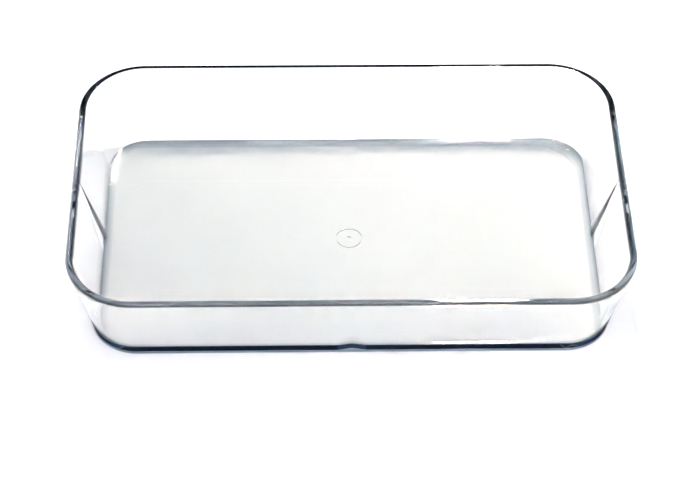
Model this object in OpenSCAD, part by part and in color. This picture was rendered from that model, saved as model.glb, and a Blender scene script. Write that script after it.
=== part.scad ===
// Clear one-piece developing tray: a flat floor, four leaning walls with large round corners,
// and a shallow V crease folded into the middle of each wall.
// Origin: centre of the underside. +X runs along the long side, +Z is up. Millimetres.

/* [Tray] */
// Length over the rim, before its edges are rounded
rim_l = 260; // [200:1:320]
// Width over the rim, before its edges are rounded
rim_w = 160; // [130:1:220]
// Height from the underside to the top of the rim
height = 43; // [36:0.5:60]
// Radius of the rim's outer corners, seen from above
rim_r = 31.5; // [24:0.5:40]
// How far each wall leans in between the rim and the underside
lean = 10; // [4:0.5:12]

/* [Walls and floor] */
// Wall thickness, measured level
wall = 3.5; // [2.5:0.1:5]
// Floor thickness
floor_t = 3.5; // [2.5:0.1:5]
// Rounding of the rim's inner and outer edge
rim_edge_r = 1.2; // [0.4:0.1:1.2]
// Rounding between the walls and the underside
foot_r = 2; // [1:0.5:6]
// Fillet between the walls and the floor
floor_fillet_r = 1.2; // [0.5:0.1:3]

/* [Creases] */
// Depth of a crease at the underside
crease_d = 1.3; // [1:0.1:3]
// Width of a crease at the underside
crease_w = 14; // [8:1:20]
// Distance from the top of the rim down to the point of a crease
crease_top = 5; // [3:0.5:10]

/* [Moulding mark] */
// Outer radius of the ring under the floor
mark_r = 6.5; // [4:0.5:10]
// Width of the ring's groove
mark_line = 0.8; // [0.5:0.1:1.5]
// Radius of the gate dimple in the ring
gate_r = 1.5; // [1:0.1:3]
// Depth of the ring's groove and of the dimple
mark_d = 0.2; // [0.1:0.1:0.8]

/* [Hidden] */
$fn = 96;

// Radius of the underside's corners; each corner of the tray is a cone about one upright axis
foot_corner_r = rim_r - lean;
// Corner axes, as distances from the middle
axis_x = rim_l / 2 - rim_r;
axis_y = rim_w / 2 - rim_r;
// Height of the crease's point, and how far a cut runs past a surface
crease_z = height - crease_top;
past = 1;

// Distance from a corner axis to the wall's outer face at height z
function outer_x(z) = foot_corner_r + lean * z / height;

// Unit vector along v, and the one that runs up a wall in the half section
function unit(v) = v / norm(v);
up_wall = unit([lean, height]);

// Centre of the circle of radius r that touches the two sides, along u1 and u2, of a corner at v
function round_centre(v, u1, u2, r) = v + unit(u1 + u2) * r / sin(acos(u1 * u2) / 2);

// Area between a corner at v and the circle of radius r that rounds it
module corner_web(v, u1, u2, r) {
    touch = r / tan(acos(u1 * u2) / 2);
    centre = round_centre(v, u1, u2, r);
    difference() {
        polygon([v, v + u1 * touch, centre, v + u2 * touch]);
        translate(centre) circle(r);
    }
}

// Half section of the tray from a corner axis outwards: floor, foot rounding, wall and rim
module section() {
    foot = [foot_corner_r, 0];
    rim_out = [outer_x(height), height];
    rim_in = rim_out - [wall, 0];
    inner_foot = [outer_x(floor_t) - wall, floor_t];
    difference() {
        polygon([[0, 0], foot, rim_out, rim_in, inner_foot, [0, floor_t]]);
        corner_web(foot, up_wall, [-1, 0], foot_r);
        corner_web(rim_out, -up_wall, [-1, 0], rim_edge_r);
        corner_web(rim_in, -up_wall, [1, 0], rim_edge_r);
    }
    corner_web(inner_foot, up_wall, [-1, 0], floor_fillet_r);
}

// Straight wall with its strip of floor, facing +X, for a run of the given length
module straight_side(run) {
    translate([0, run / 2, 0]) rotate([90, 0, 0]) linear_extrude(run) section();
}

// Tray without its creases: four corners, four straight sides and the middle of the floor
module shell() {
    for (side = [0, 180]) {
        rotate(side) translate([axis_x, 0, 0]) straight_side(2 * axis_y);
        rotate(side + 90) translate([axis_y, 0, 0]) straight_side(2 * axis_x);
    }
    for (x = [-1, 1], y = [-1, 1])
        translate([x * axis_x, y * axis_y, 0])
            rotate(x > 0 ? (y > 0 ? 0 : -90) : (y > 0 ? 90 : 180))
                rotate_extrude(angle = 90) section();
    translate([-axis_x, -axis_y, 0]) cube([2 * axis_x, 2 * axis_y, floor_t]);
}

// Wedge whose sharp edge is the ridge of a crease folded into the face that stands at outer_x(z) - back.
// It runs from height low to height high, and its open side lies past the face.
module crease_wedge(back, low, high) {
    function depth(z) = crease_d * (1 - z / crease_z);
    function half(z) = crease_w / 2 * (1 - z / crease_z);
    function ridge(z) = [outer_x(z) - back - depth(z), 0, z];
    spread = 1 + past / crease_d;
    function side(z, way) = [ridge(z)[0] + depth(z) * spread, way * half(z) * spread, z];
    polyhedron(
        [ridge(low), side(low, -1), side(low, 1), ridge(high)],
        [[0, 1, 2], [0, 3, 1], [1, 3, 2], [2, 3, 0]]
    );
}

// Places its children at the middle of each wall, facing outwards along +X
module at_each_wall() {
    for (side = [0, 180]) {
        rotate(side) translate([axis_x, 0, 0]) children();
        rotate(side + 90) translate([axis_y, 0, 0]) children();
    }
}

// Ring groove and gate dimple in the underside
module moulding_mark() {
    translate([0, 0, -past]) {
        difference() {
            cylinder(h = past + mark_d, r = mark_r);
            translate([0, 0, -past]) cylinder(h = 3 * past + mark_d, r = mark_r - mark_line);
        }
        cylinder(h = past + mark_d, r = gate_r);
    }
}

module tray() {
    color([0.86, 0.9, 0.94, 0.4])
        difference() {
            union() {
                shell();
                at_each_wall() crease_wedge(wall, floor_t / 2, crease_z);
            }
            at_each_wall() crease_wedge(0, -past, crease_z);
            moulding_mark();
        }
}

tray();
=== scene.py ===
"""Clear one-piece developing tray on a white table, lit as a bright product shot."""

import math

import bmesh
import bpy
from mathutils import Matrix, Vector


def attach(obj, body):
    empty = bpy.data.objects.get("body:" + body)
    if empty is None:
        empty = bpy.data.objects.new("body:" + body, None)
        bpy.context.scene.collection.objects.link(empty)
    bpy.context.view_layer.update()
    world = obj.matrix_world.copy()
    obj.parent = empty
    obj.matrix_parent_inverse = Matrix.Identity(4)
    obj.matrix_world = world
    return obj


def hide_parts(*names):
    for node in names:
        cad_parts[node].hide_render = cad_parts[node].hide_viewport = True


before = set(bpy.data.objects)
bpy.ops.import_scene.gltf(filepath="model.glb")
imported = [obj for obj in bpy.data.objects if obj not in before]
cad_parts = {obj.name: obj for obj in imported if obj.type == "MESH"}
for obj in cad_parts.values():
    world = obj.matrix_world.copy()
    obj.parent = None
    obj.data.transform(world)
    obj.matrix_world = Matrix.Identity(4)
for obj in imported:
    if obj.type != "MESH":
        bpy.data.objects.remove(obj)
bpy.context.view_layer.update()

MM = 0.001

# ---------------------------------------------------------------- tray sizes, in millimetres
RIM_L, RIM_W, HEIGHT = 260.0, 160.0, 43.0
RIM_R, LEAN = 31.5, 10.0
WALL, FLOOR_T = 3.5, 3.5
RIM_EDGE_R, FOOT_R, FLOOR_FILLET_R = 1.2, 2.0, 1.2
CREASE_D, CREASE_W, CREASE_TOP = 1.3, 14.0, 5.0
MARK_R, MARK_LINE, GATE_R, MARK_D = 6.5, 0.8, 1.5, 0.2

FOOT_CORNER_R = RIM_R - LEAN
AXIS_X, AXIS_Y = RIM_L / 2 - RIM_R, RIM_W / 2 - RIM_R
CREASE_Z = HEIGHT - CREASE_TOP

# How many steps each stretch of the mesh is made in
FILLET_STEPS, RIM_STEPS, FOOT_STEPS, WALL_STEPS = 6, 8, 14, 12
CORNER_STEPS, CREASE_STEPS, FAR_STEPS, CIRCLE_STEPS = 40, 16, 8, 96
# Widths of the flat strips past the outline's two ends, where smooth shading has to stay level
SUPPORT, FLAT_STRIP = 0.5, 4.0


def outer_x(z):
    """Distance from a corner's axis to the wall's outer face at height z."""
    return FOOT_CORNER_R + LEAN * z / HEIGHT


# ---------------------------------------------------------------- half section of wall and floor
def rounded(v, u1, u2, r, steps):
    """Points of the arc of radius r that rounds the corner at v, from the side along u1 to that along u2."""
    half = u1.angle(u2) / 2
    centre = v + (u1 + u2).normalized() * (r / math.sin(half))
    start = v + u1 * (r / math.tan(half)) - centre
    end = v + u2 * (r / math.tan(half)) - centre
    turn = start.angle_signed(end)
    return [centre + Matrix.Rotation(-turn * i / steps, 2) @ start for i in range(steps + 1)]


def spaced(a, b, steps):
    """Points between a and b, without either end."""
    return [a.lerp(b, i / steps) for i in range(1, steps)]


def section():
    """Open outline from the floor, up the inner face, over the rim and down to the underside."""
    up = Vector((LEAN, HEIGHT)).normalized()
    inward, outward = Vector((-1, 0)), Vector((1, 0))
    foot = Vector((FOOT_CORNER_R, 0))
    rim_out = Vector((outer_x(HEIGHT), HEIGHT))
    rim_in = rim_out - Vector((WALL, 0))
    inner_foot = Vector((outer_x(FLOOR_T) - WALL, FLOOR_T))
    fillet = rounded(inner_foot, inward, up, FLOOR_FILLET_R, FILLET_STEPS)
    inner_edge = rounded(rim_in, -up, outward, RIM_EDGE_R, RIM_STEPS)
    outer_edge = rounded(rim_out, inward, -up, RIM_EDGE_R, RIM_STEPS)
    foot_arc = rounded(foot, up, inward, FOOT_R, FOOT_STEPS)
    inner_face = spaced(fillet[-1], inner_edge[0], WALL_STEPS)
    outer_face = spaced(outer_edge[-1], foot_arc[0], WALL_STEPS)
    support_in = fillet[0] + inward * SUPPORT
    support_out = foot_arc[-1] + inward * SUPPORT
    return (
        [support_in] + fillet + inner_face + inner_edge
        + outer_edge + outer_face + foot_arc + [support_out]
    )


# ---------------------------------------------------------------- path round the tray
# Softness of a crease's ridge and of its two edges
SOFT_RIDGE, SOFT_EDGE = 0.12, 0.08
# Where a crease's columns end, in half widths, and the least share of its width that they close up to
CREASE_REACH, LEAST_SHARE = 1.2, 0.15


def crease_share(z):
    """How much of a crease is left at height z: 1 at the underside, 0 at its point and above."""
    return max(0.0, 1.0 - z / CREASE_Z)


def fold(u):
    """Share of a crease's depth at the place u across it: about 1 on the ridge, u = 0, and 0 past u = 1."""
    v = 1.0 - math.sqrt(u * u + SOFT_RIDGE * SOFT_RIDGE)
    return (v + math.sqrt(v * v + SOFT_EDGE * SOFT_EDGE)) / 2


def side_columns(half_run):
    """(u, s) of each column of one straight side. A column of the crease has its place u in half widths,
    and any other column has its distance s from the middle; the one that is not used is None."""
    crease = [CREASE_REACH * (i / CREASE_STEPS - 1) for i in range(2 * CREASE_STEPS + 1)]
    clear = half_run - CREASE_REACH * CREASE_W / 2
    left = [(None, -half_run + clear * i / FAR_STEPS) for i in range(FAR_STEPS)]
    return left + [(u, None) for u in crease] + [(None, -s) for _, s in reversed(left)]


def ring_points(point, creased):
    """One closed ring of the tray: the section's point swept round the rounded rectangle."""
    x, z = point
    share = crease_share(z) if creased else 0.0
    half_width = CREASE_W / 2 * max(share, LEAST_SHARE)
    out = []
    for side in range(4):
        turn = Matrix.Rotation(side * math.pi / 2, 2)
        axis, run = (AXIS_X, AXIS_Y) if side % 2 == 0 else (AXIS_Y, AXIS_X)
        for u, s in side_columns(run):
            if u is None:
                place = Vector((axis + x, s))
            else:
                place = Vector((axis + x - CREASE_D * share * fold(u), u * half_width))
            out.append(turn @ place)
        for i in range(1, CORNER_STEPS):
            a = math.pi / 2 * i / CORNER_STEPS
            out.append(turn @ Vector((axis + x * math.cos(a), run + x * math.sin(a))))
    return [Vector((p.x, p.y, z)) * MM for p in out]


# ---------------------------------------------------------------- moulding mark
# The ring's groove starts to sink MARK_EDGE outside its line, has the share MARK_LIP of its depth MARK_EDGE
# inside it, and is at full depth MARK_SLOPE inside it. The flat surround reaches MARK_SURROUND further out.
MARK_EDGE, MARK_SLOPE, MARK_LIP, MARK_SURROUND = 0.1, 0.3, 0.2, 1.0
# The dimple has the same share of its depth GATE_EDGE inside its radius, and is at full depth GATE_SLOPE
# inside it. Its innermost circle has GATE_FLAT of its radius.
GATE_EDGE, GATE_SLOPE, GATE_FLAT = 0.2, 0.5, 0.4


def mark_profile():
    """(radius, height) of the circles that form the moulding mark, from its surround to its middle."""
    lip = MARK_LIP * MARK_D
    ring_in = MARK_R - MARK_LINE
    return [
        (MARK_R + MARK_SURROUND, 0), (MARK_R + MARK_EDGE, 0),
        (MARK_R - MARK_EDGE, lip), (MARK_R - MARK_SLOPE, MARK_D),
        (ring_in + MARK_SLOPE, MARK_D), (ring_in + MARK_EDGE, lip), (ring_in - MARK_EDGE, 0),
        (GATE_R + MARK_SLOPE, 0), (GATE_R + MARK_EDGE, 0),
        (GATE_R - GATE_EDGE, lip), (GATE_R - GATE_SLOPE, MARK_D), (GATE_R * GATE_FLAT, MARK_D),
    ]


def circle_points(r, z):
    """Points of a level circle of radius r round the middle of the tray, at height z."""
    angles = [2 * math.pi * i / CIRCLE_STEPS for i in range(CIRCLE_STEPS)]
    return [Vector((r * math.cos(a), r * math.sin(a), z)) * MM for a in angles]


# ---------------------------------------------------------------- mesh of the tray
def new_ring(bm, points):
    """Mesh vertices at the points."""
    return [bm.verts.new(p) for p in points]


def skin(bm, lower, upper):
    """Quads between two rings of the same length."""
    n = len(lower)
    for i in range(n):
        bm.faces.new((lower[i], lower[(i + 1) % n], upper[(i + 1) % n], upper[i]))


def fill_between(bm, *rings):
    """Flat triangles that fill the area inside the first ring and outside the others."""
    edges = []
    for ring in rings:
        edges += [bm.edges.get((ring[i], ring[(i + 1) % len(ring)])) for i in range(len(ring))]
    bmesh.ops.triangle_fill(bm, use_beauty=True, use_dissolve=False, edges=edges)


def build_tray():
    """The whole tray as one closed mesh."""
    bm = bmesh.new()
    outline = section()
    strip = Vector((FLAT_STRIP, 0))
    rings = [new_ring(bm, ring_points(point, True)) for point in outline]
    for below, above in zip(rings, rings[1:]):
        skin(bm, below, above)
    flat_in = new_ring(bm, ring_points(outline[0] - strip, False))
    skin(bm, flat_in, rings[0])
    fill_between(bm, flat_in)
    flat_out = new_ring(bm, ring_points(outline[-1] - strip, False))
    skin(bm, rings[-1], flat_out)
    circles = [new_ring(bm, circle_points(r, z)) for r, z in mark_profile()]
    for outer, inner in zip(circles, circles[1:]):
        skin(bm, outer, inner)
    fill_between(bm, flat_out, circles[0])
    fill_between(bm, circles[-1])
    bmesh.ops.recalc_face_normals(bm, faces=bm.faces)
    mesh = bpy.data.meshes.new("tray_body")
    bm.to_mesh(mesh)
    bm.free()
    mesh.polygons.foreach_set("use_smooth", [True] * len(mesh.polygons))
    obj = bpy.data.objects.new("tray_body", mesh)
    bpy.context.scene.collection.objects.link(obj)
    return obj


# ---------------------------------------------------------------- shader helpers
def new_material(name):
    """A material with its node tree and its main shader node."""
    mat = bpy.data.materials.new(name)
    mat.use_nodes = True
    return mat, mat.node_tree, mat.node_tree.nodes["Principled BSDF"]


def math_node(tree, operation, a, b):
    """Output of a Math node that is fed by sockets or plain numbers."""
    node = tree.nodes.new("ShaderNodeMath")
    node.operation = operation
    for socket, value in zip(node.inputs, (a, b)):
        if isinstance(value, (int, float)):
            socket.default_value = value
        else:
            tree.links.new(value, socket)
    return node.outputs[0]


def vector_node(tree, operation, a, b=None):
    """A Vector Math node that is fed by a socket and, where b is given, by a plain vector."""
    node = tree.nodes.new("ShaderNodeVectorMath")
    node.operation = operation
    tree.links.new(a, node.inputs[0])
    if b is not None:
        node.inputs[1].default_value = b
    return node


def smooth_range(tree, value, low, high):
    """0 where the value is under low, 1 where it is over high, and a smooth ramp between them."""
    node = tree.nodes.new("ShaderNodeMapRange")
    node.interpolation_type = "SMOOTHSTEP"
    node.inputs["From Min"].default_value = low
    node.inputs["From Max"].default_value = high
    tree.links.new(value, node.inputs["Value"])
    return node.outputs["Result"]


def blend(tree, share, a, b):
    """Colour a where the share is 0 and b where it is 1; each is a socket or a plain (red, green, blue)."""
    node = tree.nodes.new("ShaderNodeMix")
    node.data_type = "RGBA"
    tree.links.new(share, node.inputs["Factor"])
    for socket, colour in ((node.inputs["A"], a), (node.inputs["B"], b)):
        if isinstance(colour, tuple):
            socket.default_value = (*colour, 1)
        else:
            tree.links.new(colour, socket)
    return node.outputs["Result"]


# Reflections that cost nothing, and the share of red, green and blue that is kept by each one after them
FREE_REFLECTIONS, KEPT = 8, (0.6, 0.65, 0.71)


def reflection_fade(tree, colour):
    """The colour, dimmed for light that has been reflected many times on its way through the plastic."""
    path = tree.nodes.new("ShaderNodeLightPath")
    beyond = math_node(tree, "SUBTRACT", path.outputs["Glossy Depth"], FREE_REFLECTIONS)
    spent = math_node(tree, "MAXIMUM", beyond, 0)
    joined = tree.nodes.new("ShaderNodeCombineColor")
    for socket, kept, part in zip(joined.inputs, KEPT, colour):
        faded = math_node(tree, "POWER", kept, spent)
        tree.links.new(math_node(tree, "MULTIPLY", faded, part), socket)
    return joined.outputs["Color"]


# ---------------------------------------------------------------- material of the tray
PLASTIC_TINT, PLASTIC_IOR = (0.965, 0.975, 0.985), 1.5


def clear_plastic():
    """Colourless moulded plastic, polished inside and out."""
    mat, _, bsdf = new_material("clear_plastic")
    bsdf.inputs["Base Color"].default_value = (*PLASTIC_TINT, 1)
    bsdf.inputs["Transmission Weight"].default_value = 1.0
    bsdf.inputs["IOR"].default_value = PLASTIC_IOR
    bsdf.inputs["Roughness"].default_value = 0.0
    return mat


# ---------------------------------------------------------------- material of the table, in metres
PAPER = 0.86
# Strength of the glow at the foot's outline, its rise per metre past it, and the most that it rises
GLOW_START, GLOW_SLOPE, GLOW_RISE = 0.2, 10.0, 0.6
# Reach of the contact shade outside and inside the foot's outline, and the red, green and blue it takes
CONTACT_OUT, CONTACT_IN = 0.0008, 0.0065
CONTACT_SHADE = (0.78, 0.72, 0.64)
# Distance past the outline where the shade that only mirrored light meets has gone, and its steepness:
# at 2 it is full up to half that distance
MIRROR_SHADE_W, MIRROR_SHADE_SLOPE = 0.0055, 2.0
# Width of the streaky shadow inside the right and back edges of the foot, and its tints from the inner
# side of that strip, 0, to the foot's outline, 1
SHADOW_W = 0.0066
SHADOW_TONES = (
    (0.00, (1.00, 1.00, 1.00)),
    (0.12, (0.88, 0.90, 0.93)),
    (0.22, (0.80, 0.84, 0.89)),
    (0.36, (0.92, 0.94, 0.96)),
    (0.50, (0.82, 0.86, 0.90)),
    (0.62, (0.92, 0.94, 0.96)),
    (0.80, (0.85, 0.88, 0.92)),
    (0.95, (0.75, 0.80, 0.86)),
)


def past_foot_outline(tree, place):
    """Distance of a place on the table from the outline of the tray's foot, negative under the tray."""
    place = vector_node(tree, "ABSOLUTE", place).outputs["Vector"]
    place = vector_node(tree, "SUBTRACT", place, (AXIS_X * MM, AXIS_Y * MM, 0)).outputs["Vector"]
    place = vector_node(tree, "MAXIMUM", place, (0, 0, 0)).outputs["Vector"]
    from_axis = vector_node(tree, "LENGTH", place).outputs["Value"]
    return math_node(tree, "SUBTRACT", from_axis, FOOT_CORNER_R * MM)


def table_glow(tree, past_foot):
    """Strength of the light that the table gives off: none under the tray, more with distance from it."""
    rise = math_node(tree, "MINIMUM", math_node(tree, "MULTIPLY", past_foot, GLOW_SLOPE), GLOW_RISE)
    glow = math_node(tree, "ADD", rise, GLOW_START)
    return math_node(tree, "MULTIPLY", glow, math_node(tree, "GREATER_THAN", past_foot, 0.0))


def contact_shade(tree, past_foot):
    """Strength of the shade along the foot's outline: 1 on it and 0 at its outer and inner reach."""
    outside = math_node(tree, "DIVIDE", past_foot, CONTACT_OUT)
    inside = math_node(tree, "DIVIDE", past_foot, -CONTACT_IN)
    shade = math_node(tree, "SUBTRACT", 1.0, math_node(tree, "MAXIMUM", outside, inside))
    return math_node(tree, "MAXIMUM", shade, 0.0)


def mirror_shade(tree, past_foot):
    """Strength of the shade that only mirrored light meets: 1 under and beside the tray, 0 further out."""
    near = math_node(tree, "SUBTRACT", 1.0, math_node(tree, "DIVIDE", past_foot, MIRROR_SHADE_W))
    near = math_node(tree, "MULTIPLY", near, MIRROR_SHADE_SLOPE)
    near = math_node(tree, "MINIMUM", math_node(tree, "MAXIMUM", near, 0.0), 1.0)
    path = tree.nodes.new("ShaderNodeLightPath")
    return math_node(tree, "MULTIPLY", near, path.outputs["Is Reflection Ray"])


def wall_shadow(tree, place, past_foot):
    """Tint of the streaky shadow that the back and right walls throw on the table under the tray."""
    shifted = vector_node(tree, "ADD", place, (SHADOW_W, SHADOW_W, 0.0)).outputs["Vector"]
    under = math_node(tree, "LESS_THAN", past_foot, 0.0)
    depth = math_node(tree, "MULTIPLY", past_foot_outline(tree, shifted), under)
    ramp = tree.nodes.new("ShaderNodeValToRGB")
    tree.links.new(math_node(tree, "DIVIDE", depth, SHADOW_W), ramp.inputs["Fac"])
    tones = ramp.color_ramp.elements
    for position, _ in SHADOW_TONES[1:-1]:
        tones.new(position)
    for element, (position, tone) in zip(tones, SHADOW_TONES):
        element.position = position
        element.color = (*tone, 1)
    split = tree.nodes.new("ShaderNodeSeparateColor")
    tree.links.new(ramp.outputs["Color"], split.inputs[0])
    return split.outputs


def table_top():
    """Matt white sheet with the tray's shades painted on it, which glows beyond the tray's foot."""
    mat, tree, bsdf = new_material("table_top")
    bsdf.inputs["Roughness"].default_value = 1.0
    bsdf.inputs["Specular IOR Level"].default_value = 0.0
    place = tree.nodes.new("ShaderNodeTexCoord").outputs["Object"]
    past_foot = past_foot_outline(tree, place)
    contact = contact_shade(tree, past_foot)
    mirrored = mirror_shade(tree, past_foot)
    lit = []
    for share in CONTACT_SHADE:
        shade = math_node(tree, "MAXIMUM", math_node(tree, "MULTIPLY", contact, share), mirrored)
        lit.append(math_node(tree, "SUBTRACT", 1.0, shade))
    paper = []
    for part, tint in zip(lit, wall_shadow(tree, place, past_foot)):
        paper.append(math_node(tree, "MULTIPLY", math_node(tree, "MULTIPLY", part, tint), PAPER))
    # The glow has no colour, so the share that is left of the blue serves for all of it
    glow = math_node(tree, "MULTIPLY", table_glow(tree, past_foot), lit[2])
    tree.links.new(reflection_fade(tree, paper), bsdf.inputs["Base Color"])
    tree.links.new(reflection_fade(tree, (1, 1, 1)), bsdf.inputs["Emission Color"])
    tree.links.new(glow, bsdf.inputs["Emission Strength"])
    return mat


# ---------------------------------------------------------------- pieces
tray = build_tray()
tray.data.materials.append(clear_plastic())
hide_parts("tray")
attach(tray, "root")

# ---------------------------------------------------------------- table, just clear of the underside
TABLE_SIZE, TABLE_GAP = 6.0, 0.0002

bpy.ops.mesh.primitive_plane_add(size=TABLE_SIZE, location=(0, 0, -TABLE_GAP))
table = bpy.context.object
table.name = "table"
table.data.materials.append(table_top())

# ---------------------------------------------------------------- light
# The dome, and the dark round patch in it: its colour, its direction, and how near to that direction
# (1 is straight at it) it starts and is full
DOME = (0.40, 0.47, 0.55)
PATCH, PATCH_TOWARD = (0.02, 0.05, 0.10), (0.0, 0.69, 0.72)
PATCH_START, PATCH_FULL = 0.88, 0.95
# The white horizon, and how high (1 is overhead) it starts to fade and the dome is reached
HORIZON = (0.93, 0.94, 0.95)
HORIZON_TOP, DOME_START = 0.14, 0.30
# The lamp: where it stands in metres, its width, watts and colour
LAMP_PLACE, LAMP_W, LAMP_POWER = (0.094, 0.21, 0.385), 0.06, 2.25
LAMP_COLOUR = (1.0, 0.89, 0.79)


def build_sky():
    """Weak bluish dome with a dark round patch high at the back, above a white horizon."""
    world = bpy.data.worlds.new("studio")
    bpy.context.scene.world = world
    world.use_nodes = True
    tree = world.node_tree
    toward = tree.nodes.new("ShaderNodeTexCoord").outputs["Generated"]
    nearness = vector_node(tree, "DOT_PRODUCT", toward, PATCH_TOWARD).outputs["Value"]
    in_patch = smooth_range(tree, nearness, PATCH_START, PATCH_FULL)
    dome = blend(tree, in_patch, reflection_fade(tree, DOME), PATCH)
    split = tree.nodes.new("ShaderNodeSeparateXYZ")
    tree.links.new(toward, split.inputs["Vector"])
    climb = smooth_range(tree, split.outputs["Z"], HORIZON_TOP, DOME_START)
    sky = blend(tree, climb, HORIZON, dome)
    tree.links.new(sky, tree.nodes["Background"].inputs["Color"])


def build_lamp():
    """Small round warm lamp above the back right, aimed at the middle of the tray."""
    light = bpy.data.lights.new("key_box", "AREA")
    light.shape = "DISK"
    light.size = LAMP_W
    light.energy = LAMP_POWER
    light.use_nodes = True
    tree = light.node_tree
    tree.links.new(reflection_fade(tree, LAMP_COLOUR), tree.nodes["Emission"].inputs["Color"])
    lamp = bpy.data.objects.new("key_box", light)
    lamp.location = LAMP_PLACE
    lamp.rotation_euler = (-Vector(LAMP_PLACE)).to_track_quat("-Z", "Y").to_euler()
    bpy.context.scene.collection.objects.link(lamp)


build_sky()
build_lamp()

# ---------------------------------------------------------------- camera
# Focal length and sensor width in millimetres, angles in degrees, distance and target in metres
FOCAL, SENSOR = 113.17, 36.0
ELEVATION, AZIMUTH, ROLL = 46.59, 1.79, 0.91
DISTANCE, TARGET = 1.0581, Vector((0.0004, -0.0047, 0.0))


def build_camera():
    """The photo's camera, in front of the tray and looking down at it."""
    data = bpy.data.cameras.new("camera")
    data.sensor_width = SENSOR
    data.lens = FOCAL
    camera = bpy.data.objects.new("camera", data)
    bpy.context.scene.collection.objects.link(camera)
    bpy.context.scene.camera = camera
    e, a, r = (math.radians(v) for v in (ELEVATION, AZIMUTH, ROLL))
    ahead = Vector((math.sin(a) * math.cos(e), math.cos(a) * math.cos(e), -math.sin(e)))
    right = Vector((math.cos(a), -math.sin(a), 0))
    up = right.cross(ahead)
    right, up = math.cos(r) * right + math.sin(r) * up, math.cos(r) * up - math.sin(r) * right
    turn = Matrix((right, up, -ahead)).transposed()
    camera.matrix_world = Matrix.Translation(TARGET - ahead * DISTANCE) @ turn.to_4x4()


build_camera()

# ---------------------------------------------------------------- rendering
# Enough bounces for light that zigzags inside the walls, with nothing blurred or clamped on its way
MAX_BOUNCES, CLEAR_BOUNCES = 40, 24

scene = bpy.context.scene
scene.view_settings.view_transform = "Standard"
scene.cycles.max_bounces = MAX_BOUNCES
scene.cycles.transmission_bounces = CLEAR_BOUNCES
scene.cycles.glossy_bounces = CLEAR_BOUNCES
scene.cycles.blur_glossy = 0.0
scene.cycles.sample_clamp_indirect = 0.0
